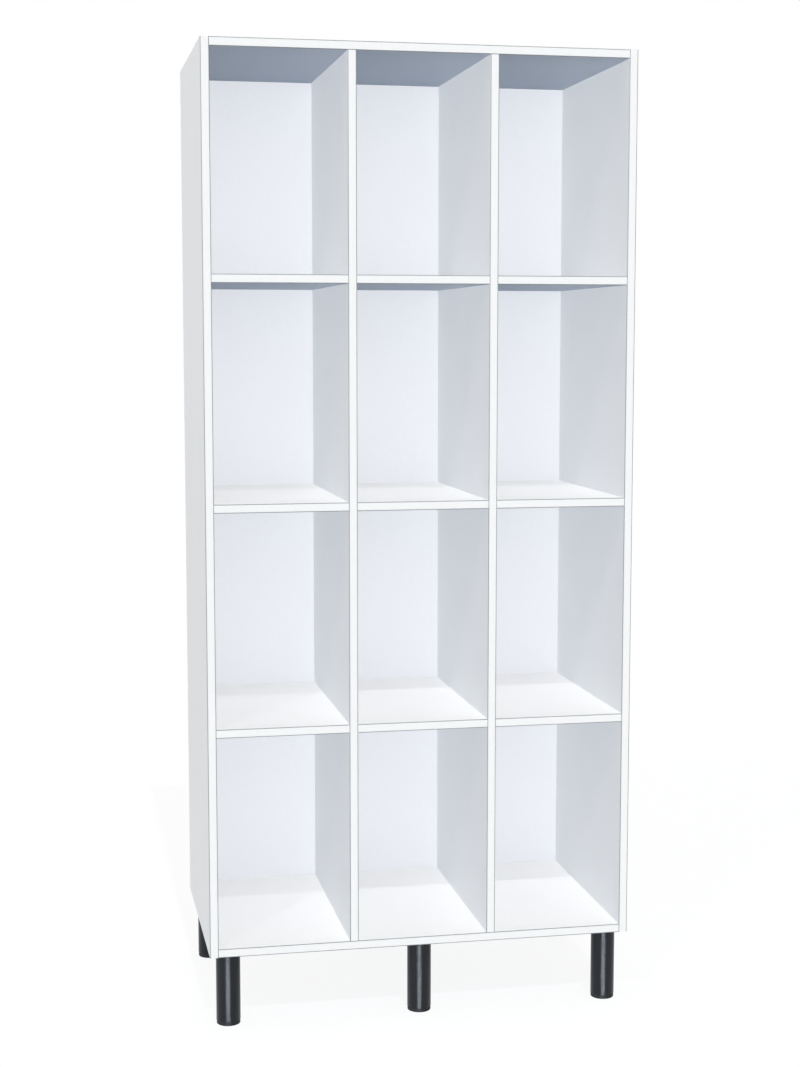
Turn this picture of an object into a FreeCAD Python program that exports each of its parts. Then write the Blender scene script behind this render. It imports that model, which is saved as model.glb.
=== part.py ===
import FreeCAD
import Part
import os

from FreeCAD import Placement, Rotation, Vector

# Open cubby locker in white-faced board on six black legs with levelling feet.
# The origin is on the floor under the middle of the unit, +Z up, and the open front faces -Y.
# All sizes are millimetres.

# Boards and cubbies
board = 18.0
cell_width = 276.0
cell_height = 444.0
depth = 500.0
column_names = ["left", "middle", "right"]
shelf_levels = ["upper", "middle", "lower"]

# Housings: stopped grooves that hold the shelves, dividers and end tongues
housing_depth = 5.0
housing_stop = 20.0
tongue_thick = 8.0
glue_gap = 0.1

# Back panel in its rebate
back_thick = 6.0
back_lap = 9.0
back_recess = 1.0
back_play = 0.5

# Edging on the front edges and on the upper ends of the sides
band_thick = 1.0
band_bevel = 0.6

# Legs: a steel tube with a welded cap, whose wood-thread bolt goes up into the bottom panel
tube_length = 146.0
tube_radius = 25.5
tube_wall = 1.5
cap_thick = 4.0
bolt_radius = 4.0
bolt_length = 13.0
bolt_play = 0.06
leg_from_side = 41.0
leg_from_front = 41.0
leg_from_rear = 26.5

# Levelling foot: a nylon plug in the tube, a threaded stud and a swivel pad
plug_length = 30.0
plug_play = 0.05
stud_radius = 5.0
stud_length = 60.0
stud_play = 0.06
pad_step = 0.75
pad_height = 8.0
pad_floor = 3.0

# Places worked out from the sizes above
columns = len(column_names)
rows = len(shelf_levels) + 1
width = columns * cell_width + (columns + 1) * board
height = rows * cell_height + (rows + 1) * board
left_face = -width / 2
front_face = -depth / 2
rear_face = depth / 2
underside = pad_height + tube_length
upper_face = underside + height
core_front = front_face + band_thick
housing_front = core_front + housing_stop
back_front = rear_face - back_recess - back_thick
inner_left = left_face + board
inner_right = -inner_left
floor_face = underside + board
ceiling_face = upper_face - board
tube_bore = tube_radius - tube_wall


def cell_left(column):
    return inner_left + column * (cell_width + board)


def shelf_bottom(row):
    """Height of the underside of the shelf below the given row, counted from the top."""
    return ceiling_face - (row + 1) * cell_height - row * board - board


def prism(points, direction):
    """A flat outline swept straight along a direction."""
    closed = points + points[:1]
    return Part.Face(Part.makePolygon(closed)).extrude(direction)


def block(low, high):
    size = high - low
    return Part.makeBox(size.x, size.y, size.z, low)


def turned(points):
    """A closed outline of (radius, height) points turned round the Z axis."""
    outline = [Vector(radius, 0, z) for radius, z in points]
    face = Part.Face(Part.makePolygon(outline + outline[:1]))
    return face.revolve(Vector(0, 0, 0), Vector(0, 0, 1), 360)


def cut(shape, tools):
    return shape.cut(Part.makeCompound(tools)).Solids[0]


def groove(low, high):
    """A housing for a board edge, opened by the glue gap all round."""
    gap = Vector(glue_gap, 0, glue_gap)
    return block(low - gap, high + gap)


def shelf_grooves(upright_face, inward):
    """Housings for all shelf ends on one face of an upright; inward points into the upright."""
    deep = upright_face + inward * housing_depth
    tools = []
    for row in range(rows - 1):
        low = Vector(min(upright_face, deep), housing_front, shelf_bottom(row))
        high = Vector(max(upright_face, deep), back_front, shelf_bottom(row) + board)
        tools.append(groove(low, high))
    return tools


def side_panel(outer_face, inward):
    """A full-height side, with housings for shelves and tongues and a stopped rebate for the back."""
    inner_face = outer_face + inward * board
    near = min(outer_face, inner_face)
    far = max(outer_face, inner_face)
    core = block(Vector(near, core_front, underside), Vector(far, rear_face, upper_face - band_thick))
    tools = shelf_grooves(inner_face, -inward)
    deep = inner_face - inward * housing_depth
    for tongue_bottom in (floor_face - tongue_thick, ceiling_face):
        low = Vector(min(inner_face, deep), housing_front, tongue_bottom)
        high = Vector(max(inner_face, deep), back_front, tongue_bottom + tongue_thick)
        tools.append(groove(low, high))
    lap = inner_face - inward * back_lap
    low = Vector(min(inner_face, lap), back_front, floor_face - back_lap)
    high = Vector(max(inner_face, lap), rear_face, ceiling_face + back_lap)
    tools.append(block(low, high))
    return cut(core, tools)


def end_panel(outer_face, inward):
    """The top or bottom: tongues at both ends, housings for the dividers, a rebate along the rear."""
    inner_face = outer_face + inward * board
    tongue_face = inner_face - inward * tongue_thick
    tongue_end = inner_right + housing_depth
    outline = [
        Vector(-tongue_end, housing_front, inner_face),
        Vector(tongue_end, housing_front, inner_face),
        Vector(tongue_end, housing_front, tongue_face),
        Vector(inner_right, housing_front, tongue_face),
        Vector(inner_right, housing_front, outer_face),
        Vector(inner_left, housing_front, outer_face),
        Vector(inner_left, housing_front, tongue_face),
        Vector(-tongue_end, housing_front, tongue_face),
    ]
    tongued = prism(outline, Vector(0, rear_face - housing_front, 0))
    near = min(outer_face, inner_face)
    far = max(outer_face, inner_face)
    front = block(Vector(inner_left, core_front, near), Vector(inner_right, housing_front, far))
    tools = []
    deep = inner_face - inward * housing_depth
    for column in range(1, columns):
        right = cell_left(column)
        low = Vector(right - board, housing_front, min(inner_face, deep))
        high = Vector(right, back_front, max(inner_face, deep))
        tools.append(groove(low, high))
    lap = inner_face - inward * back_lap
    low = Vector(-tongue_end, back_front, min(inner_face, lap))
    high = Vector(tongue_end, rear_face, max(inner_face, lap))
    tools.append(block(low, high))
    return cut(front.fuse(tongued).removeSplitter(), tools)


def bottom_panel():
    """The bottom panel, bored from below for the legs' bolts."""
    bore = bolt_radius + bolt_play
    tools = []
    for x, y in leg_centres():
        tools.append(Part.makeCylinder(bore, bolt_length + glue_gap, Vector(x, y, underside)))
    return cut(end_panel(underside, 1), tools)


def divider(column):
    """The upright to the left of a column, with its ends housed in the top and bottom."""
    right = cell_left(column)
    left = right - board
    outline = [
        Vector(left, core_front, floor_face),
        Vector(left, housing_front, floor_face),
        Vector(left, housing_front, floor_face - housing_depth),
        Vector(left, back_front, floor_face - housing_depth),
        Vector(left, back_front, ceiling_face + housing_depth),
        Vector(left, housing_front, ceiling_face + housing_depth),
        Vector(left, housing_front, ceiling_face),
        Vector(left, core_front, ceiling_face),
    ]
    core = prism(outline, Vector(board, 0, 0))
    return cut(core, shelf_grooves(left, 1) + shelf_grooves(right, -1))


def shelf(column, row):
    """A shelf below a row, notched at the front so that its housings don't show."""
    left = cell_left(column)
    right = left + cell_width
    bottom = shelf_bottom(row)
    outline = [
        Vector(left, core_front, bottom),
        Vector(right, core_front, bottom),
        Vector(right, housing_front, bottom),
        Vector(right + housing_depth, housing_front, bottom),
        Vector(right + housing_depth, back_front, bottom),
        Vector(left - housing_depth, back_front, bottom),
        Vector(left - housing_depth, housing_front, bottom),
        Vector(left, housing_front, bottom),
    ]
    return prism(outline, Vector(0, 0, board))


def back_panel():
    side = inner_right + back_lap - back_play
    low = Vector(-side, back_front, floor_face - back_lap + back_play)
    high = Vector(side, back_front + back_thick, ceiling_face + back_lap - back_play)
    return block(low, high)


def edge_band(length, corner, along, outward):
    """A strip of edging with both long edges bevelled.

    corner is the low end of its glued face, along is its length and outward is where it faces.
    """
    across = along.cross(outward)
    shoulder = band_thick - band_bevel
    profile = [
        (0, 0),
        (0, shoulder),
        (band_bevel, band_thick),
        (board - band_bevel, band_thick),
        (board, shoulder),
        (board, 0),
    ]
    outline = [corner + across * over + outward * out for over, out in profile]
    return prism(outline, along * length)


def upright_band(left, bottom, length):
    """Edging on the front of an upright whose left face is given."""
    return edge_band(length, Vector(left, core_front, bottom), Vector(0, 0, 1), Vector(0, -1, 0))


def level_band(left, bottom, length):
    """Edging on the front of a level board whose left end is given."""
    return edge_band(length, Vector(left, core_front, bottom + board), Vector(1, 0, 0), Vector(0, -1, 0))


def side_bands(left):
    """The front edging of a side, and the edging on its upper end."""
    end_corner = Vector(left, core_front, upper_face - band_thick)
    end = edge_band(rear_face - core_front, end_corner, Vector(0, 1, 0), Vector(0, 0, 1))
    return Part.makeCompound([upright_band(left, underside, height), end])


def shelf_bands(row):
    bands = []
    for column in range(columns):
        bands.append(level_band(cell_left(column), shelf_bottom(row), cell_width))
    return Part.makeCompound(bands)


def leg_rows():
    """Leg centres by row and place: under each outer corner and midway, front and rear."""
    side_x = width / 2 - leg_from_side
    row_depths = {"front": front_face + leg_from_front, "rear": rear_face - leg_from_rear}
    stands = {"left": -side_x, "middle": 0.0, "right": side_x}
    return {row: {stand: (x, y) for stand, x in stands.items()} for row, y in row_depths.items()}


def leg_centres():
    return [centre for stands in leg_rows().values() for centre in stands.values()]


def leg_tube():
    """A tube closed at its upper end by a welded cap."""
    return turned(
        [
            (0, underside),
            (tube_radius, underside),
            (tube_radius, pad_height),
            (tube_bore, pad_height),
            (tube_bore, underside - cap_thick),
            (0, underside - cap_thick),
        ]
    )


def leg_bolt():
    return Part.makeCylinder(bolt_radius, bolt_length, Vector(0, 0, underside))


def leg_plug():
    """A plug in the tube's lower end, threaded for the levelling stud."""
    outer = tube_bore - plug_play
    bore = stud_radius + stud_play
    upper = pad_height + plug_length
    return turned([(bore, pad_height), (outer, pad_height), (outer, upper), (bore, upper)])


def levelling_stud():
    return Part.makeCylinder(stud_radius, stud_length, Vector(0, 0, pad_floor))


def foot_pad():
    """A round pad with a socket in which the stud turns."""
    outer = tube_radius - pad_step
    socket = stud_radius + stud_play
    return turned(
        [
            (0, 0),
            (outer, 0),
            (outer, pad_height),
            (socket, pad_height),
            (socket, pad_floor),
            (0, pad_floor),
        ]
    )


def moved(shape, centre):
    copy = shape.copy()
    copy.Placement = Placement(Vector(*centre, 0), Rotation())
    return copy


def group(shape, centres):
    """The same piece at several legs, as separate solids."""
    return Part.makeCompound([moved(shape, centre) for centre in centres])


def carcass_parts():
    parts = {
        "left_side": side_panel(left_face, 1),
        "right_side": side_panel(-left_face, -1),
        "top_panel": end_panel(upper_face, -1),
        "bottom_panel": bottom_panel(),
        "left_divider": divider(1),
        "right_divider": divider(2),
        "back_panel": back_panel(),
    }
    for row, level in enumerate(shelf_levels):
        for column, name in enumerate(column_names):
            parts[f"{level}_shelf_{name}"] = shelf(column, row)
    return parts


def band_parts():
    inner_width = inner_right - inner_left
    inner_height = ceiling_face - floor_face
    parts = {
        "left_side_bands": side_bands(left_face),
        "right_side_bands": side_bands(inner_right),
        "top_band": level_band(inner_left, ceiling_face, inner_width),
        "bottom_band": level_band(inner_left, underside, inner_width),
        "left_divider_band": upright_band(cell_left(1) - board, floor_face, inner_height),
        "right_divider_band": upright_band(cell_left(2) - board, floor_face, inner_height),
    }
    for row, level in enumerate(shelf_levels):
        parts[f"{level}_shelf_bands"] = shelf_bands(row)
    return parts


def leg_parts():
    parts = {
        "leg_bolts": group(leg_bolt(), leg_centres()),
        "leg_plugs": group(leg_plug(), leg_centres()),
    }
    for row, stands in leg_rows().items():
        parts[f"{row}_leg_tubes"] = group(leg_tube(), stands.values())
        for stand, centre in stands.items():
            parts[f"levelling_stud_{row}_{stand}"] = moved(levelling_stud(), centre)
            parts[f"foot_pad_{row}_{stand}"] = moved(foot_pad(), centre)
    return parts


os.makedirs("parts", exist_ok=True)
all_parts = {**carcass_parts(), **band_parts(), **leg_parts()}
for node, shape in all_parts.items():
    shape.exportStep(f"parts/{node}.step")
print(f"{len(all_parts)} nodes, {width:g} x {depth:g} x {upper_face:g} mm")
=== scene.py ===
# %% [markdown]
# # A cubby locker in white board on black legs
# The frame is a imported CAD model: every board, edging strip, leg and foot is already there at its real
# size. This lesson gives each piece its finish, and swaps the round metal and plastic pieces for finer
# meshes. The CAD pieces themselves are never moved or reshaped.

# %% Load the frame
import math

import bmesh
import bpy
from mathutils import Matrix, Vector


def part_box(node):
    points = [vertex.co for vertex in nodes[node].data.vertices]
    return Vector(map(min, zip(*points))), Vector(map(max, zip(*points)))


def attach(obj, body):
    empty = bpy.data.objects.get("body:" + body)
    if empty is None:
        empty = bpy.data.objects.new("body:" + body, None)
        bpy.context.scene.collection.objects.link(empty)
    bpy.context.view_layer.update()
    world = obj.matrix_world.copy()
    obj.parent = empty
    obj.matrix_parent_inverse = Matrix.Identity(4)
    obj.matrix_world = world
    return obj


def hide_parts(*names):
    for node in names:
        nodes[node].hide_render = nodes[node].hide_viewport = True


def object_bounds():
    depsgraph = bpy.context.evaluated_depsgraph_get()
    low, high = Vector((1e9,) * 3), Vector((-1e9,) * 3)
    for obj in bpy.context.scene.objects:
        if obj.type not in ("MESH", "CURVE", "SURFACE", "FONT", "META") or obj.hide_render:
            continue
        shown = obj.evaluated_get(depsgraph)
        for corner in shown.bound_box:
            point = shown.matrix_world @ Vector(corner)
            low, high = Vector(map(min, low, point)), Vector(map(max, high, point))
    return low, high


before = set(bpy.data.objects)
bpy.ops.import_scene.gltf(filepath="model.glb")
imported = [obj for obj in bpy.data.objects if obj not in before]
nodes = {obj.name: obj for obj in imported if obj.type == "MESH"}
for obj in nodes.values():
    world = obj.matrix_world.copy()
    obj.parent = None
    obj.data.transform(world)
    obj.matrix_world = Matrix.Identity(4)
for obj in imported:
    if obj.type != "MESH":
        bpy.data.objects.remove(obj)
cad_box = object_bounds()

# %% [markdown]
# ## Small helpers
# Colours are picked as sRGB hex values, as a paint chart gives them, but a shader works in linear light,
# so one function turns them over. Sizes are thought of in millimetres while Blender counts in metres.
# A pattern's scale is the number of its repeats in a metre.

# %% Colour, size and node helpers
MM = 0.001


def linear(hex_code):
    """An sRGB hex colour as the linear RGBA that a shader socket takes."""
    channels = [int(hex_code[i:i + 2], 16) / 255 for i in (0, 2, 4)]
    decoded = [c / 12.92 if c <= 0.04045 else ((c + 0.055) / 1.055) ** 2.4 for c in channels]
    return (*decoded, 1.0)


def per_metre(size_mm):
    """The texture scale at which a pattern repeats about every size_mm."""
    return 1000 / size_mm


def add_node(tree, kind, settings=None, inputs=None):
    """Adds a node, sets its properties, and fills its inputs with values or with other nodes' outputs."""
    node = tree.nodes.new(kind)
    for key, value in (settings or {}).items():
        setattr(node, key, value)
    for key, value in (inputs or {}).items():
        if isinstance(value, bpy.types.NodeSocket):
            tree.links.new(value, node.inputs[key])
        else:
            node.inputs[key].default_value = value
    return node


def new_material(name):
    """An empty node material, with its tree and its output node."""
    material = bpy.data.materials.new(name)
    material.use_nodes = True
    tree = material.node_tree
    tree.nodes.clear()
    return material, tree, add_node(tree, "ShaderNodeOutputMaterial")


# Sockets of the Mix node, which has a pair for plain values and a pair for colours
FACTOR, VALUE_A, VALUE_B, COLOUR_A, COLOUR_B = 0, 2, 3, 6, 7
VALUE_OUT, COLOUR_OUT = 0, 2
X, Y, Z = range(3)
# A face looks along an axis when its normal goes further along it than this
FACES_AXIS = 0.5
# Generated coordinates run from 0 to 1 over a piece, so its faces are half a piece from its middle
HALF = 0.5


def from_middle(tree, place, axis):
    """The distance from the middle of a piece along one axis, as a share of its whole size there."""
    within = add_node(tree, "ShaderNodeSeparateXYZ", inputs={0: place.outputs["Generated"]})
    centred = add_node(tree, "ShaderNodeMath", {"operation": "SUBTRACT"}, {0: within.outputs[axis], 1: HALF})
    return add_node(tree, "ShaderNodeMath", {"operation": "ABSOLUTE"}, {0: centred.outputs[0]})


print("white as linear light:", [round(c, 3) for c in linear("F2F3F4")[:3]])

# %% [markdown]
# ## Melamine-faced particleboard
# The boards are pressed wood chips between two sheets of white resin paper. The pressed paper gives the
# eye an even satin white with a very fine grain. Where a board was sawn and left without edging, at the
# rear and at the lower ends of the sides, the chips show: coarse in the core, fine near the faces, with
# the paper as a thin white line along both borders. The lower face of a lying board is seldom seen; it is
# painted a darker, cool blue-grey, a painted shade for the shade under the board. Images could paint all
# this, but a mask made from the surface direction finds each kind of face by itself, whatever the board's
# size.

# %% Melamine-faced board
side_low, side_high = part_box("left_side")
BOARD_MM = (side_high.x - side_low.x) / MM
PAPER_MM = 0.4
PEARL_MM = 1.6
CLOUD_MM = 120
PEARL_SHARE = 0.8
CORE_CHIP_MM = 2.6
FACE_CHIP_MM = 0.9
MELAMINE_WHITE = "F3F4F5"
MELAMINE_SHADE = "E3E5E7"
# Painted shade: faces that look down are coloured a darker, cool blue-grey for the shade under a board
PAINTED_SHADE_UNDER = "CCD7E7"
PAINTED_SHADE_UNDER_DEEP = "C2CDDD"
MELAMINE_GLOSS = 0.12
PEARL_BUMP = 0.35
SAWN_BUMP = 0.6
SAWN_ROUGHNESS = 0.92
CHIP_PALE = "D8BD92"
CHIP_DARK = "A27C4E"


def melamine_board(name, across):
    """White melamine on the faces, painted shade on a face that looks down, bare chips on the sawn edges.
    across is the thickness axis.
    """
    material, tree, output = new_material(name)
    place = add_node(tree, "ShaderNodeTexCoord")
    facing = add_node(tree, "ShaderNodeSeparateXYZ", inputs={0: place.outputs["Normal"]})
    steep = add_node(tree, "ShaderNodeMath", {"operation": "ABSOLUTE"}, {0: facing.outputs[across]})
    face = add_node(tree, "ShaderNodeMath", {"operation": "GREATER_THAN"},
                    {0: steep.outputs[0], 1: FACES_AXIS})

    # The edge of the paper shows as a thin border along a sawn edge
    off_middle = from_middle(tree, place, across)
    paper = add_node(tree, "ShaderNodeMath", {"operation": "GREATER_THAN"},
                     {0: off_middle.outputs[0], 1: HALF - PAPER_MM / BOARD_MM})
    white = add_node(tree, "ShaderNodeMath", {"operation": "MAXIMUM"},
                     {0: face.outputs[0], 1: paper.outputs[0]})

    # Three layers of chips: fine ones near the faces, coarse ones in the core
    core = add_node(tree, "ShaderNodeTexVoronoi", {}, {"Vector": place.outputs["Object"],
                                                       "Scale": per_metre(CORE_CHIP_MM)})
    fine = add_node(tree, "ShaderNodeTexVoronoi", {}, {"Vector": place.outputs["Object"],
                                                       "Scale": per_metre(FACE_CHIP_MM)})
    layer = add_node(tree, "ShaderNodeMapRange", {}, {"Value": off_middle.outputs[0], "From Min": 0.3,
                                                      "From Max": 0.36})
    chips = add_node(tree, "ShaderNodeMix", {"data_type": "RGBA"},
                     {FACTOR: layer.outputs[0], COLOUR_A: core.outputs["Color"],
                      COLOUR_B: fine.outputs["Color"]})
    tone = add_node(tree, "ShaderNodeSeparateColor", {}, {0: chips.outputs[COLOUR_OUT]})
    wood = add_node(tree, "ShaderNodeMix", {"data_type": "RGBA"},
                    {FACTOR: tone.outputs[0], COLOUR_A: linear(CHIP_DARK), COLOUR_B: linear(CHIP_PALE)})

    # The press plate's pearl grain is finer than this, and is drawn coarser so that it shows
    pearl = add_node(tree, "ShaderNodeTexNoise", {}, {"Vector": place.outputs["Object"], "Detail": 3.0,
                                                      "Scale": per_metre(PEARL_MM)})
    cloud = add_node(tree, "ShaderNodeTexNoise", {}, {"Vector": place.outputs["Object"], "Detail": 1.0,
                                                      "Scale": per_metre(CLOUD_MM)})
    print_tone = add_node(tree, "ShaderNodeMix", {}, {FACTOR: PEARL_SHARE, VALUE_A: cloud.outputs["Fac"],
                                                      VALUE_B: pearl.outputs["Fac"]})
    resin = add_node(tree, "ShaderNodeMix", {"data_type": "RGBA"},
                     {FACTOR: print_tone.outputs[VALUE_OUT], COLOUR_A: linear(MELAMINE_SHADE),
                      COLOUR_B: linear(MELAMINE_WHITE)})
    # Painted shade: faces that look down take the darker blue-grey in place of the white resin
    painted_under_shade = add_node(tree, "ShaderNodeMix", {"data_type": "RGBA"},
                       {FACTOR: print_tone.outputs[VALUE_OUT], COLOUR_A: linear(PAINTED_SHADE_UNDER_DEEP),
                        COLOUR_B: linear(PAINTED_SHADE_UNDER)})
    painted_shade_faces = add_node(tree, "ShaderNodeMath", {"operation": "LESS_THAN"},
                     {0: facing.outputs[Z], 1: -FACES_AXIS})
    faced = add_node(tree, "ShaderNodeMix", {"data_type": "RGBA"},
                     {FACTOR: painted_shade_faces.outputs[0], COLOUR_A: resin.outputs[COLOUR_OUT],
                      COLOUR_B: painted_under_shade.outputs[COLOUR_OUT]})
    colour = add_node(tree, "ShaderNodeMix", {"data_type": "RGBA"},
                      {FACTOR: white.outputs[0], COLOUR_A: wood.outputs[COLOUR_OUT],
                       COLOUR_B: faced.outputs[COLOUR_OUT]})
    satin = add_node(tree, "ShaderNodeMapRange", {}, {"Value": pearl.outputs["Fac"], "To Min": 0.36,
                                                      "To Max": 0.5})
    rough = add_node(tree, "ShaderNodeMix", {}, {FACTOR: white.outputs[0], VALUE_A: SAWN_ROUGHNESS,
                                                 VALUE_B: satin.outputs[0]})
    height = add_node(tree, "ShaderNodeMix", {}, {FACTOR: white.outputs[0], VALUE_A: tone.outputs[0],
                                                  VALUE_B: pearl.outputs["Fac"]})
    depth = add_node(tree, "ShaderNodeMix", {}, {FACTOR: white.outputs[0], VALUE_A: SAWN_BUMP,
                                                 VALUE_B: PEARL_BUMP})
    bump = add_node(tree, "ShaderNodeBump", {}, {"Height": height.outputs[VALUE_OUT], "Distance": 0.4 * MM,
                                                 "Strength": depth.outputs[VALUE_OUT]})
    skin = add_node(tree, "ShaderNodeBsdfPrincipled", {},
                    {"Base Color": colour.outputs[COLOUR_OUT], "IOR": 1.5, "Normal": bump.outputs[0],
                     "Specular IOR Level": MELAMINE_GLOSS, "Roughness": rough.outputs[VALUE_OUT]})
    tree.links.new(skin.outputs[0], output.inputs[0])
    return material


upright_board = melamine_board("melamine_upright_board", across=X)
level_board = melamine_board("melamine_level_board", across=Z)
print(f"made {upright_board.name} and {level_board.name}, for boards of {BOARD_MM:.0f} mm")

# %% [markdown]
# ## ABS edging
# The front edges carry strips of white ABS plastic, glued on hot and trimmed to a small bevel. The strip is
# a little glossier than the board, and its two borders show as thin grey lines, where the cut plastic and
# the glue meet the board. These lines draw the whole grid of the front, so they are given a width at which
# they can be seen from across a room.

# %% Edging material
GLUE_LINE_MM = 1.5
PEEL_MM = 3.5
ABS_WHITE = "FAFDFF"
ABS_SHADE = "F0F5F9"
GLUE_GREY = "8C9298"


def abs_edging(name, across):
    """White plastic edging with grey borders. across is the axis over the strip's width."""
    material, tree, output = new_material(name)
    place = add_node(tree, "ShaderNodeTexCoord")
    off_middle = from_middle(tree, place, across)
    border = add_node(tree, "ShaderNodeMath", {"operation": "GREATER_THAN"},
                      {0: off_middle.outputs[0], 1: HALF - GLUE_LINE_MM / BOARD_MM})
    peel = add_node(tree, "ShaderNodeTexNoise", {}, {"Vector": place.outputs["Object"], "Detail": 2.0,
                                                     "Scale": per_metre(PEEL_MM)})
    strip = add_node(tree, "ShaderNodeMix", {"data_type": "RGBA"},
                     {FACTOR: peel.outputs["Fac"], COLOUR_A: linear(ABS_SHADE),
                      COLOUR_B: linear(ABS_WHITE)})
    colour = add_node(tree, "ShaderNodeMix", {"data_type": "RGBA"},
                      {FACTOR: border.outputs[0], COLOUR_A: strip.outputs[COLOUR_OUT],
                       COLOUR_B: linear(GLUE_GREY)})
    rough = add_node(tree, "ShaderNodeMapRange", {}, {"Value": peel.outputs["Fac"], "To Min": 0.28,
                                                      "To Max": 0.38})
    bump = add_node(tree, "ShaderNodeBump", {}, {"Height": peel.outputs["Fac"], "Strength": 0.15,
                                                 "Distance": 0.3 * MM})
    plastic = add_node(tree, "ShaderNodeBsdfPrincipled", {}, {"Base Color": colour.outputs[COLOUR_OUT],
                                                              "IOR": 1.53, "Roughness": rough.outputs[0],
                                                              "Normal": bump.outputs[0]})
    tree.links.new(plastic.outputs[0], output.inputs[0])
    return material


upright_edging = abs_edging("abs_upright_edging", across=X)
level_edging = abs_edging("abs_level_edging", across=Z)
print("made", upright_edging.name, "and", level_edging.name)

# %% [markdown]
# ## Hardboard back
# The back is a thin sheet of wet-pressed wood fibre. Its smooth face looks into the cubbies and is
# lacquered white, a shade cooler than the boards. Its rear was pressed on a wire screen and stays brown,
# with the print of the mesh.

# %% Back panel material
SCREEN_MM = 3.5
# Bands to the metre in a wave texture of scale 1, near enough
BANDS_AT_ONE = math.pi
SCREEN_SHARE = 0.35
SCREEN_BUMP = 0.8
FIBRE_MM = 9
FIBRE_ROUGHNESS = 0.85
LACQUER_ROUGHNESS = 0.4
LACQUER_WHITE = "F2F5FA"
LACQUER_SHADE = "EAEDF2"
FIBRE_PALE = "B28A60"
FIBRE_DARK = "7C5939"


def lacquered_hardboard(name):
    """White lacquer on the side towards the front, brown fibre with a screen print on the rest."""
    material, tree, output = new_material(name)
    place = add_node(tree, "ShaderNodeTexCoord")
    facing = add_node(tree, "ShaderNodeSeparateXYZ", inputs={0: place.outputs["Normal"]})
    front = add_node(tree, "ShaderNodeMath", {"operation": "LESS_THAN"},
                     {0: facing.outputs[Y], 1: -FACES_AXIS})

    fibre = add_node(tree, "ShaderNodeTexNoise", {}, {"Vector": place.outputs["Object"], "Detail": 8.0,
                                                      "Roughness": 0.7, "Scale": per_metre(FIBRE_MM)})
    lacquer = add_node(tree, "ShaderNodeMix", {"data_type": "RGBA"},
                       {FACTOR: fibre.outputs["Fac"], COLOUR_A: linear(LACQUER_SHADE),
                        COLOUR_B: linear(LACQUER_WHITE)})
    rough = add_node(tree, "ShaderNodeMix", {}, {FACTOR: front.outputs[0], VALUE_A: FIBRE_ROUGHNESS,
                                                 VALUE_B: LACQUER_ROUGHNESS})

    # A real screen has about 2 mm between wires; it is drawn coarser so that the mesh can be seen
    wires = [add_node(tree, "ShaderNodeTexWave", {"bands_direction": way},
                      {"Vector": place.outputs["Object"], "Scale": per_metre(SCREEN_MM) / BANDS_AT_ONE})
             for way in ("X", "Z")]
    mesh = add_node(tree, "ShaderNodeMath", {"operation": "MAXIMUM"}, {0: wires[0].outputs["Fac"],
                                                                     1: wires[1].outputs["Fac"]})
    pressed = add_node(tree, "ShaderNodeMix", {}, {FACTOR: SCREEN_SHARE, VALUE_A: fibre.outputs["Fac"],
                                                   VALUE_B: mesh.outputs[0]})
    brown = add_node(tree, "ShaderNodeMix", {"data_type": "RGBA"},
                     {FACTOR: pressed.outputs[VALUE_OUT], COLOUR_A: linear(FIBRE_DARK),
                      COLOUR_B: linear(FIBRE_PALE)})
    colour = add_node(tree, "ShaderNodeMix", {"data_type": "RGBA"},
                      {FACTOR: front.outputs[0], COLOUR_A: brown.outputs[COLOUR_OUT],
                       COLOUR_B: lacquer.outputs[COLOUR_OUT]})
    depth = add_node(tree, "ShaderNodeMix", {}, {FACTOR: front.outputs[0], VALUE_A: SCREEN_BUMP,
                                                 VALUE_B: 0.0})
    bump = add_node(tree, "ShaderNodeBump", {}, {"Height": mesh.outputs[0], "Distance": 0.5 * MM,
                                                 "Strength": depth.outputs[VALUE_OUT]})
    board = add_node(tree, "ShaderNodeBsdfPrincipled", {},
                     {"Base Color": colour.outputs[COLOUR_OUT], "IOR": 1.5,
                      "Roughness": rough.outputs[VALUE_OUT], "Normal": bump.outputs[0]})
    tree.links.new(board.outputs[0], output.inputs[0])
    return material


back_board = lacquered_hardboard("lacquered_hardboard")
print("made", back_board.name)

# %% [markdown]
# ## Black powder-coated steel
# The legs are steel tube, sprayed with black powder and baked. The melted powder levels to a satin skin
# with a faint orange peel. It is close to black, and most of what the eye gets from it is the pale room
# that it mirrors weakly, with one bright line down each front leg.

# %% Leg material
POWDER_PEEL_MM = 2.2
POWDER_BLACK = "10171F"
POWDER_DEEP = "0B1017"
POWDER_GLOSS = 0.35


def powder_coat(name):
    """Satin black powder coat on steel."""
    material, tree, output = new_material(name)
    place = add_node(tree, "ShaderNodeTexCoord")
    peel = add_node(tree, "ShaderNodeTexNoise", {}, {"Vector": place.outputs["Object"], "Detail": 2.0,
                                                     "Scale": per_metre(POWDER_PEEL_MM)})
    colour = add_node(tree, "ShaderNodeMix", {"data_type": "RGBA"},
                      {FACTOR: peel.outputs["Fac"], COLOUR_A: linear(POWDER_DEEP),
                       COLOUR_B: linear(POWDER_BLACK)})
    rough = add_node(tree, "ShaderNodeMapRange", {}, {"Value": peel.outputs["Fac"], "To Min": 0.2,
                                                      "To Max": 0.28})
    bump = add_node(tree, "ShaderNodeBump", {}, {"Height": peel.outputs["Fac"], "Strength": 0.06,
                                                 "Distance": 0.2 * MM})
    coat = add_node(tree, "ShaderNodeBsdfPrincipled", {},
                    {"Base Color": colour.outputs[COLOUR_OUT], "IOR": 1.5, "Normal": bump.outputs[0],
                     "Specular IOR Level": POWDER_GLOSS, "Roughness": rough.outputs[0]})
    tree.links.new(coat.outputs[0], output.inputs[0])
    return material


leg_coat = powder_coat("powder_coated_steel")
print("made", leg_coat.name)

# %% [markdown]
# ## Black nylon and zinc-plated steel
# The foot pads and the plugs in the tubes are moulded nylon: black, a little waxy, with the fine frosted
# grain of a spark-eroded mould. The studs, bolts and screws are steel with bright zinc, which has a cool
# silver sheen that goes slightly cloudy.

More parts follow.
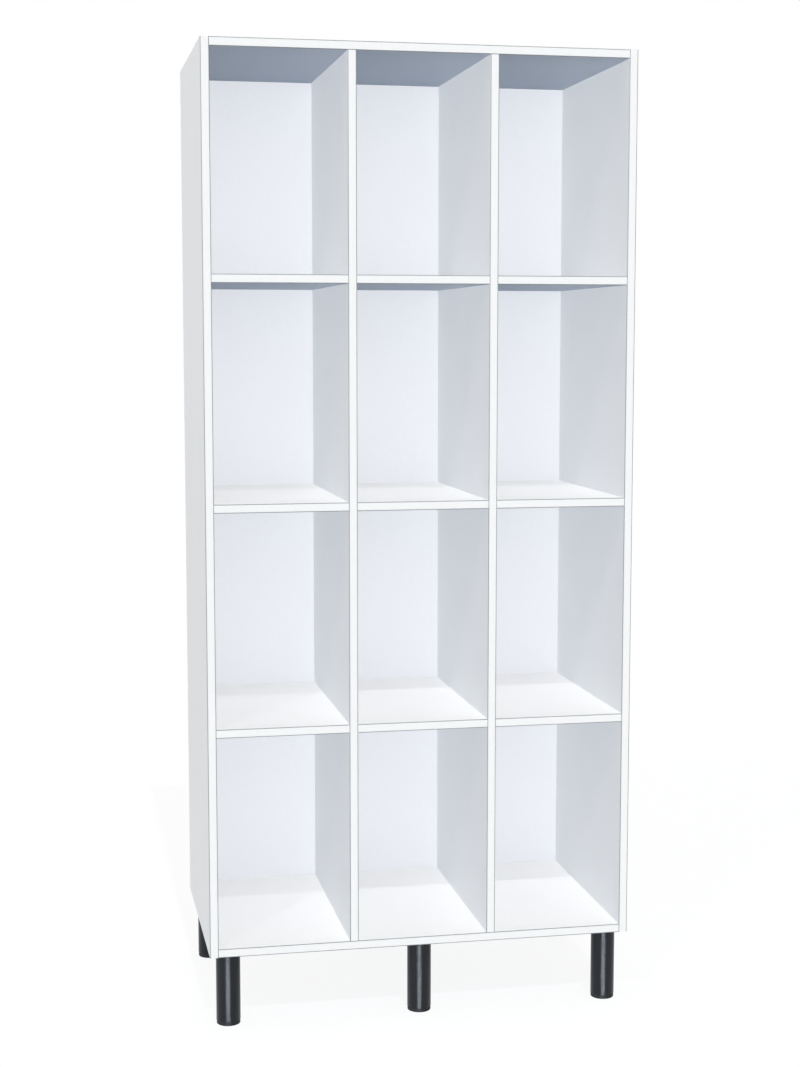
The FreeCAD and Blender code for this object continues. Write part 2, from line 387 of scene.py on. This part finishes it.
# %% Plastic and zinc materials
MOULD_GRAIN_MM = 0.8
NYLON_BLACK = "15191E"
NYLON_WORN = "1D2126"
NYLON_GLOSS = 0.25
ZINC_CLOUD_MM = 4
ZINC_BRIGHT = "D3D7DA"
ZINC_DULL = "AEB4B9"


def moulded_nylon(name):
    """Black nylon with a frosted mould grain."""
    material, tree, output = new_material(name)
    place = add_node(tree, "ShaderNodeTexCoord")
    grain = add_node(tree, "ShaderNodeTexNoise", {}, {"Vector": place.outputs["Object"], "Detail": 4.0,
                                                      "Scale": per_metre(MOULD_GRAIN_MM)})
    colour = add_node(tree, "ShaderNodeMix", {"data_type": "RGBA"},
                      {FACTOR: grain.outputs["Fac"], COLOUR_A: linear(NYLON_BLACK),
                       COLOUR_B: linear(NYLON_WORN)})
    rough = add_node(tree, "ShaderNodeMapRange", {}, {"Value": grain.outputs["Fac"], "To Min": 0.42,
                                                      "To Max": 0.6})
    bump = add_node(tree, "ShaderNodeBump", {}, {"Height": grain.outputs["Fac"], "Strength": 0.2,
                                                 "Distance": 0.1 * MM})
    nylon = add_node(tree, "ShaderNodeBsdfPrincipled", {},
                     {"Base Color": colour.outputs[COLOUR_OUT], "IOR": 1.53, "Normal": bump.outputs[0],
                      "Specular IOR Level": NYLON_GLOSS, "Roughness": rough.outputs[0]})
    tree.links.new(nylon.outputs[0], output.inputs[0])
    return material


def bright_zinc(name):
    """Steel with a thin zinc plating, cloudy here and there."""
    material, tree, output = new_material(name)
    place = add_node(tree, "ShaderNodeTexCoord")
    cloud = add_node(tree, "ShaderNodeTexNoise", {}, {"Vector": place.outputs["Object"], "Detail": 3.0,
                                                      "Scale": per_metre(ZINC_CLOUD_MM)})
    colour = add_node(tree, "ShaderNodeMix", {"data_type": "RGBA"},
                      {FACTOR: cloud.outputs["Fac"], COLOUR_A: linear(ZINC_DULL),
                       COLOUR_B: linear(ZINC_BRIGHT)})
    rough = add_node(tree, "ShaderNodeMapRange", {}, {"Value": cloud.outputs["Fac"], "To Min": 0.38,
                                                      "To Max": 0.24})
    metal = add_node(tree, "ShaderNodeBsdfPrincipled", {}, {"Base Color": colour.outputs[COLOUR_OUT],
                                                            "Metallic": 1.0, "Roughness": rough.outputs[0]})
    tree.links.new(metal.outputs[0], output.inputs[0])
    return material


black_nylon = moulded_nylon("moulded_nylon")
zinc_steel = bright_zinc("bright_zinc_steel")
print("made", black_nylon.name, "and", zinc_steel.name)

# %% [markdown]
# ## Dressing the boards
# The boards, strips and back have the right shape already, so they stay as they came and only take their
# finish. Standing boards are thin along X and lying ones along Z, and their names say which they are.

# %% Give each CAD piece its finish
LEVELS = ("upper", "middle", "lower")
COLUMNS = ("left", "middle", "right")


def finish(name, material):
    """Puts the material on every slot of a CAD piece."""
    for slot in nodes[name].material_slots:
        slot.material = material


for side in ("left", "right"):
    finish(f"{side}_side", upright_board)
    finish(f"{side}_divider", upright_board)
    finish(f"{side}_side_bands", upright_edging)
    finish(f"{side}_divider_band", upright_edging)
for end in ("top", "bottom"):
    finish(f"{end}_panel", level_board)
    finish(f"{end}_band", level_edging)
for level in LEVELS:
    finish(f"{level}_shelf_bands", level_edging)
    for column in COLUMNS:
        finish(f"{level}_shelf_{column}", level_board)
finish("back_panel", back_board)
finish("leg_bolts", zinc_steel)
print("boards dressed; overall", [round(c, 3) for c in cad_box[1] - cad_box[0]])

# %% [markdown]
# ## Turned pieces
# Tubes, plugs and pads are round, so each is an outline turned about its axis. A screw modifier could do
# it, but rings of points joined by hand give a closed skin with clean quads and no seam. The outline is a
# list of corners, each with its own small fillet, because no moulded or coated edge is really sharp.

# %% Outline and turning helpers
RING_STEPS = 96
ON_AXIS_MM = 1e-6
FILLET_STEPS = 5
SMOOTH_BELOW = math.radians(35)


def rounded(corners):
    """Corners as (radius, height, fillet) in mm, turned into an outline with an arc at each fillet."""
    outline = []
    for i, (r, z, fillet) in enumerate(corners):
        here = Vector((r, z))
        if fillet == 0:
            outline.append(here)
            continue
        back = (Vector(corners[i - 1][:2]) - here).normalized()
        ahead = (Vector(corners[(i + 1) % len(corners)][:2]) - here).normalized()
        half = back.angle(ahead) / 2
        middle = here + (back + ahead).normalized() * fillet / math.sin(half)
        start = here + back * fillet / math.tan(half) - middle
        end = here + ahead * fillet / math.tan(half) - middle
        first = math.atan2(start.y, start.x)
        turn = math.remainder(math.atan2(end.y, end.x) - first, math.tau)
        for step in range(FILLET_STEPS + 1):
            angle = first + turn * step / FILLET_STEPS
            outline.append(middle + fillet * Vector((math.cos(angle), math.sin(angle))))
    return outline


def piece_from(bm, name, material):
    """Turns a bmesh into a smooth-shaded object in the scene."""
    bmesh.ops.recalc_face_normals(bm, faces=bm.faces)
    mesh = bpy.data.meshes.new(name)
    bm.to_mesh(mesh)
    bm.free()
    mesh.shade_smooth()
    mesh.set_sharp_from_angle(angle=SMOOTH_BELOW)
    mesh.materials.append(material)
    piece = bpy.data.objects.new(name, mesh)
    bpy.context.scene.collection.objects.link(piece)
    return piece


def turned(name, corners, centre, material):
    """A closed round piece: the outline runs from the axis, or round a hole, about a point in metres."""
    outline = rounded(corners)
    bm = bmesh.new()
    rings = []
    for r, z in outline:
        count = RING_STEPS if r > ON_AXIS_MM else 1
        ring = []
        for step in range(count):
            angle = math.tau * step / count
            ring.append(bm.verts.new((centre.x + r * MM * math.cos(angle),
                                      centre.y + r * MM * math.sin(angle), z * MM)))
        rings.append(ring)
    for low, high in zip(rings, rings[1:]):
        for step in range(RING_STEPS):
            after = (step + 1) % RING_STEPS
            around = [low[step % len(low)], low[after % len(low)],
                      high[after % len(high)], high[step % len(high)]]
            bm.faces.new(list(dict.fromkeys(around)))
    return piece_from(bm, name, material)


print("helpers ready:", RING_STEPS, "steps round each ring")

# %% [markdown]
# ## Leg tubes
# Each leg is a 51 mm tube with a cap welded into its upper end. The CAD keeps three tubes in one piece for
# each row, and here every leg becomes a piece of its own. The coating rounds the rim at the foot.

# %% Make the six tubes
LEGS = [(row, stand) for row in ("front", "rear") for stand in COLUMNS]
TUBE_WALL_MM = 1.5
CAP_MM = 4
COATED_EDGE_MM = 0.6


def leg_centre(row, stand):
    """The axis of a leg, from its foot pad."""
    low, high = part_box(f"foot_pad_{row}_{stand}")
    return (low + high) / 2


for row, stand in LEGS:
    low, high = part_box(f"{row}_leg_tubes")
    radius = (high.y - low.y) / 2 / MM
    foot, head = low.z / MM, high.z / MM
    bore = radius - TUBE_WALL_MM
    tube = turned(f"leg_tube_{row}_{stand}",
                  [(0, head, 0), (radius, head, COATED_EDGE_MM), (radius, foot, COATED_EDGE_MM),
                   (bore, foot, COATED_EDGE_MM / 2), (bore, head - CAP_MM, 0), (0, head - CAP_MM, 0)],
                  leg_centre(row, stand), leg_coat)
    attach(tube, "carcass")
    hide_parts(f"{row}_leg_tubes")
print(f"six tubes of {2 * radius:.0f} mm, {head - foot:.0f} mm long")

# %% [markdown]
# ## Plugs, pads and studs
# A nylon plug in the foot of each tube holds a threaded stud, and the stud stands in a nylon pad. Turning
# the stud lowers the pad, which is how the locker is levelled. At rest only the pad's rim shows; with the
# foot let down, the zinc thread comes into view, so the thread is a true helix and not a picture of one.

# %% Make the plugs and the pads
PAD_EDGE_MM = 0.8
SOLE_RADIUS_MM = 16
SOLE_HOLLOW_MM = 0.8
PLUG_EDGE_MM = 0.8
PLUG_BOSS_MM = 11
PLUG_RIM_MM = 2
PLUG_DISH_MM = 2.5
SLOPE_MM = 1
SOLE_FILLET_MM = 0.3
BORE_FILLET_MM = 0.4
RIM_FILLET_MM = 0.5
SOCKET_PLAY_MM = 0.1
PLUG_PLAY_MM = 0.05

for row, stand in LEGS:
    name = f"{row}_{stand}"
    centre = leg_centre(row, stand)
    pad_low, pad_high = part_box(f"foot_pad_{name}")
    stud_low, stud_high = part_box(f"levelling_stud_{name}")
    stud_radius = (stud_high.x - stud_low.x) / 2 / MM
    pad_radius = (pad_high.x - pad_low.x) / 2 / MM
    pad_top, socket_floor = pad_high.z / MM, stud_low.z / MM
    socket = stud_radius + SOCKET_PLAY_MM
    pad = turned(f"glide_pad_{name}",
                 [(0, SOLE_HOLLOW_MM, 0), (SOLE_RADIUS_MM, SOLE_HOLLOW_MM, SOLE_FILLET_MM),
                  (SOLE_RADIUS_MM + SLOPE_MM, 0, SOLE_FILLET_MM), (pad_radius, 0, PAD_EDGE_MM),
                  (pad_radius, pad_top, RIM_FILLET_MM), (socket, pad_top, BORE_FILLET_MM),
                  (socket, socket_floor, 0), (0, socket_floor, 0)], centre, black_nylon)
    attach(pad, f"foot_{name}")
    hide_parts(f"foot_pad_{name}")

    plug_low, plug_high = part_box("leg_plugs")
    plug_radius = bore - PLUG_PLAY_MM
    rim = plug_radius - PLUG_RIM_MM
    foot, head = plug_low.z / MM, plug_high.z / MM
    dish = foot + PLUG_DISH_MM
    plug = turned(f"leg_plug_{name}",
                  [(socket, foot, BORE_FILLET_MM), (PLUG_BOSS_MM, foot, BORE_FILLET_MM),
                   (PLUG_BOSS_MM + SLOPE_MM, dish, BORE_FILLET_MM), (rim - SLOPE_MM, dish, BORE_FILLET_MM),
                   (rim, foot, BORE_FILLET_MM), (plug_radius, foot, PLUG_EDGE_MM),
                   (plug_radius, head, RIM_FILLET_MM), (socket, head, BORE_FILLET_MM),
                   (socket, foot + BORE_FILLET_MM, 0)], centre, black_nylon)
    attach(plug, "carcass")
    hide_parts("leg_plugs")
print(f"six pads of {2 * pad_radius:.1f} mm and six plugs of {2 * plug_radius:.1f} mm")

# %% [markdown]
# The thread's section is a flat root, a flank, a narrow crest and a flank. Rows of points follow it up the
# helix, one pitch to a turn, and each turn is joined to the one above. The two ends are closed with fans.

# %% Make the threaded studs
PITCH_MM = 1.5
THREAD_DEPTH_MM = 0.9
THREAD_STEPS = 32
# Points of the section, as shares of the pitch and of the depth
THREAD_SECTION = ((0.0, 0.0), (0.14, 0.0), (0.46, 1.0), (0.62, 1.0))


def threaded(name, radius, foot, head, centre, material):
    """A closed right-hand thread between two heights in mm, about a point in metres."""
    bm = bmesh.new()
    turns = int((head - foot) / PITCH_MM) - 1
    rows = []
    for step in range(turns * THREAD_STEPS + 1):
        angle = math.tau * step / THREAD_STEPS
        row = []
        for rise, crest in THREAD_SECTION:
            r = radius - THREAD_DEPTH_MM * (1 - crest)
            z = foot + PITCH_MM * (step / THREAD_STEPS + rise)
            row.append(bm.verts.new((centre.x + r * MM * math.cos(angle),
                                     centre.y + r * MM * math.sin(angle), z * MM)))
        rows.append(row)
    for here, after in zip(rows, rows[1:]):
        for k in range(len(THREAD_SECTION) - 1):
            bm.faces.new((here[k], after[k], after[k + 1], here[k + 1]))
    higher = rows[THREAD_STEPS:]
    for here, after, above, above_after in zip(rows, rows[1:], higher, higher[1:]):
        bm.faces.new((here[-1], after[-1], above_after[0], above[0]))
    ends = bmesh.ops.holes_fill(bm, edges=[edge for edge in bm.edges if edge.is_boundary], sides=0)
    bmesh.ops.poke(bm, faces=ends["faces"])
    return piece_from(bm, name, material)


for row, stand in LEGS:
    name = f"{row}_{stand}"
    low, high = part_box(f"levelling_stud_{name}")
    stud = threaded(f"threaded_stud_{name}", (high.x - low.x) / 2 / MM, low.z / MM, high.z / MM,
                    leg_centre(row, stand), zinc_steel)
    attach(stud, f"stud_{name}")
    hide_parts(f"levelling_stud_{name}")
print(f"six studs, each with {len(stud.data.polygons)} faces")

# %% [markdown]
# ## Back screws
# Small pan-headed screws hold the back in its rebate: into the sides and dividers at the middle of each
# cubby, and into the top, the bottom and the shelves at the middle of each column. They can only be seen
# from behind. Each head is a low dome with a cross recess, and all of them share one piece.

# %% Make the back screws
HEAD_RADIUS_MM = 3.6
HEAD_HEIGHT_MM = 0.8
DOME_RISE = 0.6
DOME_SHARE = 0.92
CROWN_SHARE = 0.7
RECESS_ARM_MM = 1.9
RECESS_HALF_MM = 0.5
RECESS_DEPTH_MM = 0.6
HEAD_STEPS = 32
FROM_BACK_EDGE_MM = 4


def ring_of(bm, x, z, y, points):
    """A closed loop of points on the rear face, (across, up) in mm from (x, z), at y in metres."""
    verts = [bm.verts.new((x + u * MM, y, z + v * MM)) for u, v in points]
    edges = [bm.edges.new((a, b)) for a, b in zip(verts, verts[1:] + verts[:1])]
    return verts, edges


def circle_points(radius):
    """Points round a circle of that radius."""
    angles = [math.tau * step / HEAD_STEPS for step in range(HEAD_STEPS)]
    return [(radius * math.cos(a), radius * math.sin(a)) for a in angles]


def cross_points():
    """The outline of a cross recess, a quarter at a time."""
    arm, half = RECESS_ARM_MM, RECESS_HALF_MM
    quarter = [Vector((arm, -half)), Vector((arm, half)), Vector((half, half))]
    points = []
    for turn in range(4):
        c, s = round(math.cos(turn * math.pi / 2)), round(math.sin(turn * math.pi / 2))
        points += [(c * p.x - s * p.y, s * p.x + c * p.y) for p in quarter]
    return points


def walls(bm, low, high):
    """Joins two loops of the same length with quads."""
    for i in range(len(low)):
        bm.faces.new((low[i - 1], low[i], high[i], high[i - 1]))


def screw_head(bm, x, z, face):
    """One head on the rear face at y = face, in metres."""
    seat, _ = ring_of(bm, x, z, face, circle_points(HEAD_RADIUS_MM))
    shoulder, summit = face + DOME_RISE * HEAD_HEIGHT_MM * MM, face + HEAD_HEIGHT_MM * MM
    dome, _ = ring_of(bm, x, z, shoulder, circle_points(DOME_SHARE * HEAD_RADIUS_MM))
    crown, crown_edges = ring_of(bm, x, z, summit, circle_points(CROWN_SHARE * HEAD_RADIUS_MM))
    mouth, mouth_edges = ring_of(bm, x, z, summit, cross_points())
    floor, _ = ring_of(bm, x, z, face + (HEAD_HEIGHT_MM - RECESS_DEPTH_MM) * MM, cross_points())
    walls(bm, seat, dome)
    walls(bm, dome, crown)
    walls(bm, mouth, floor)
    bmesh.ops.triangle_fill(bm, edges=crown_edges + mouth_edges, use_beauty=True)
    bm.faces.new(floor)
    bm.faces.new(seat)


def middle_of(name, axis):
    """The middle of a CAD piece along one axis."""
    low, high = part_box(name)
    return (low[axis] + high[axis]) / 2


back_low, back_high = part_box("back_panel")
inset = FROM_BACK_EDGE_MM * MM
upright_places = [back_low.x + inset, middle_of("left_divider", X), middle_of("right_divider", X),
                  back_high.x - inset]
level_places = [back_low.z + inset, *[middle_of(f"{level}_shelf_left", Z) for level in reversed(LEVELS)],
                back_high.z - inset]
cubby_middles = [(a + b) / 2 for a, b in zip(level_places, level_places[1:])]
column_middles = [middle_of(f"upper_shelf_{column}", X) for column in COLUMNS]
places = [(x, z) for x in upright_places for z in cubby_middles]
places += [(x, z) for x in column_middles for z in level_places]
bm = bmesh.new()
for x, z in places:
    screw_head(bm, x, z, back_high.y)
screws = piece_from(bm, "back_screws", zinc_steel)
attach(screws, "carcass")
print(f"{len(places)} screws in the back")

# %% [markdown]
# ## Camera
# The picture is taken from the left of the locker and a little above its middle. The lens was worked out
# from the edges of the boards, so that the near and far edges run together as they should.

# %% Camera
PHOTO_HEIGHT_PX = 1067
FOCAL_PX = 1829.9
SENSOR_MM = 36
CAMERA_AT = Vector((-0.7772, -3.9274, 1.4290))
CAMERA_LOOKS = Vector((0.1930, 0.9755, -0.1058))
camera_data = bpy.data.cameras.new("camera")
camera_data.sensor_width = SENSOR_MM
camera_data.lens = FOCAL_PX / PHOTO_HEIGHT_PX * SENSOR_MM
camera = bpy.data.objects.new("camera", camera_data)
camera.location = CAMERA_AT
camera.rotation_euler = CAMERA_LOOKS.to_track_quat("-Z", "Y").to_euler()
bpy.context.scene.collection.objects.link(camera)
bpy.context.scene.camera = camera
print(f"lens {camera_data.lens:.2f} mm")

# %% [markdown]
# ## Studio light
# White boards need even light: a strong lamp from one side would leave the far corners of the cubbies dark.
# So most of it comes from wide fills and a soft sky, and two weak suns draw the shelves' faint shadows. The
# camera and the glossy finishes see a white room. One low lamp puts the bright line on the front legs.

# %% Lights
KEY_FROM = Vector((0.0, -0.63, 0.78))
KEY_STRENGTH = 0.4
SIDE_FROM = Vector((-0.42, -0.57, 0.71))
SIDE_STRENGTH = 0.2
KEY_SOFTNESS = math.radians(0.7)
WINDOW_FROM = Vector((-0.955, -0.23, 0.19))
WINDOW_STRENGTH = 1.42
WINDOW_TINT = "FCFDFF"
FILL_FROM = Vector((0.0, -0.66, 0.75))
FILL_STRENGTH = 2.13
FILL_TINT = "FFFAF5"
REAR_FROM = Vector((0.5, 0.86, 0.0))
REAR_STRENGTH = 1.4
GLINT_FROM = Vector((-0.15, -0.93, -0.34))
GLINT_STRENGTH = 2.2
GLINT_SOFTNESS = math.radians(34)
GLINT_TINT = "EDF4FF"
SKY_LEVEL = 0.325
LAMP_DISTANCE = 5
PURE_WHITE = "FFFFFF"
middle = (cad_box[0] + cad_box[1]) / 2


def sun(name, way, strength, tint=PURE_WHITE, **settings):
    """Adds a sun lamp that shines on the locker from one way, and stays out of the camera's own sight."""
    data = bpy.data.lights.new(name, "SUN")
    data.energy = strength
    data.color = linear(tint)[:3]
    for key, value in settings.items():
        setattr(data, key, value)
    made = bpy.data.objects.new(name, data)
    made.location = middle + way * LAMP_DISTANCE
    made.rotation_euler = (middle - made.location).to_track_quat("-Z", "Y").to_euler()
    made.visible_camera = False
    bpy.context.scene.collection.objects.link(made)
    return made


def seen_rays(tree):
    """The factor that is 1 for what the camera sees, directly or in a shiny or clear finish."""
    rays = add_node(tree, "ShaderNodeLightPath")
    shiny = add_node(tree, "ShaderNodeMath", {"operation": "MAXIMUM"},
                     {0: rays.outputs["Is Glossy Ray"], 1: rays.outputs["Is Transmission Ray"]})
    seen = add_node(tree, "ShaderNodeMath", {"operation": "MAXIMUM"},
                    {0: rays.outputs["Is Camera Ray"], 1: shiny.outputs[0]})
    return seen.outputs[0]


def group(name, pieces):
    """A collection of pieces for a lamp to refer to."""
    made = bpy.data.collections.new(name)
    for piece in pieces:
        made.objects.link(piece)
    return made


sun("key_sun", KEY_FROM, KEY_STRENGTH, angle=KEY_SOFTNESS)

# A second, slanting sun draws the shelves' shadows on the uprights; the dividers let it pass
slant = sun("side_sun", SIDE_FROM, SIDE_STRENGTH, angle=KEY_SOFTNESS)
blockers = [piece for name, piece in nodes.items() if "divider" not in name]
slant.light_linking.blocker_collection = group("blocks_side_sun", blockers)

# A window on the left lights the uprights evenly, and casts no shadow
sun("left_window", WINDOW_FROM, WINDOW_STRENGTH, WINDOW_TINT, use_shadow=False)

# Two fills that light what they shine on and nothing further, so that corners stay even
for name, way, strength in (("front_fill", FILL_FROM, FILL_STRENGTH),
                            ("rear_fill", REAR_FROM, REAR_STRENGTH)):
    fill = sun(name, way, strength, FILL_TINT, use_shadow=False)
    fill.data.cycles.max_bounces = 0
    fill.visible_glossy = False

# A broad lamp from low in front, that only glints on the front legs. It comes from below the floor, which
# would hide it from rays that are sent out by the finish, so only the lamp itself is sampled
glint = sun("leg_glint", GLINT_FROM, GLINT_STRENGTH, GLINT_TINT, angle=GLINT_SOFTNESS, use_shadow=False)
glint.visible_diffuse = False
glint.data.cycles.use_multiple_importance_sampling = False
front_legs = [bpy.data.objects[f"{piece}_front_{stand}"] for piece in ("leg_tube", "glide_pad")
              for stand in COLUMNS]
glint.light_linking.receiver_collection = group("front_legs", front_legs)

world = bpy.data.worlds.new("white_studio")
world.use_nodes = True
sky = world.node_tree
sky.nodes.clear()
light = add_node(sky, "ShaderNodeBackground", {}, {"Color": linear(PURE_WHITE), "Strength": SKY_LEVEL})
paper = add_node(sky, "ShaderNodeBackground", {}, {"Color": linear(PURE_WHITE), "Strength": 1.0})
either = add_node(sky, "ShaderNodeMixShader", {},
                  {0: seen_rays(sky), 1: light.outputs[0], 2: paper.outputs[0]})
add_node(sky, "ShaderNodeOutputWorld", {}, {0: either.outputs[0]})
bpy.context.scene.world = world
bpy.context.scene.view_settings.view_transform = "Standard"
print("sky level", SKY_LEVEL, "key", KEY_STRENGTH, "window", WINDOW_STRENGTH, "fill", FILL_STRENGTH)

# %% [markdown]
# ## Floor
# The floor is a sheet of pale paper that melts into the white room. It glows to the camera and in shiny
# finishes, and adds its own light and shadow on top, so that the legs stand on something.

# %% Floor
FLOOR_HALF = 30
FLOOR_GLOW = 0.72
FLOOR_PALE = "8E9092"
FLOOR_BOUNCE = "D6D6D6"


def floor_paper(name):
    """Pale paper: it glows white where it is seen, and keeps a share of its own light and shadow."""
    material, tree, output = new_material(name)
    glow = add_node(tree, "ShaderNodeEmission", {}, {"Color": linear(PURE_WHITE), "Strength": FLOOR_GLOW})
    pale = add_node(tree, "ShaderNodeBsdfDiffuse", {}, {"Color": linear(FLOOR_PALE)})
    shown = add_node(tree, "ShaderNodeAddShader", {}, {0: glow.outputs[0], 1: pale.outputs[0]})
    bounce = add_node(tree, "ShaderNodeBsdfDiffuse", {}, {"Color": linear(FLOOR_BOUNCE)})
    either = add_node(tree, "ShaderNodeMixShader", {}, {0: seen_rays(tree), 1: bounce.outputs[0],
                                                        2: shown.outputs[0]})
    tree.links.new(either.outputs[0], output.inputs[0])
    return material


bm = bmesh.new()
bmesh.ops.create_grid(bm, x_segments=1, y_segments=1, size=FLOOR_HALF)
floor = piece_from(bm, "studio_floor", floor_paper("studio_paper"))
floor.location.z = cad_box[0].z
print("floor", 2 * FLOOR_HALF, "m wide")

# %% [markdown]
# ## Finish
# The last cell notes the box of the CAD model.

# %% CAD box
print("CAD box", [list(corner) for corner in cad_box])
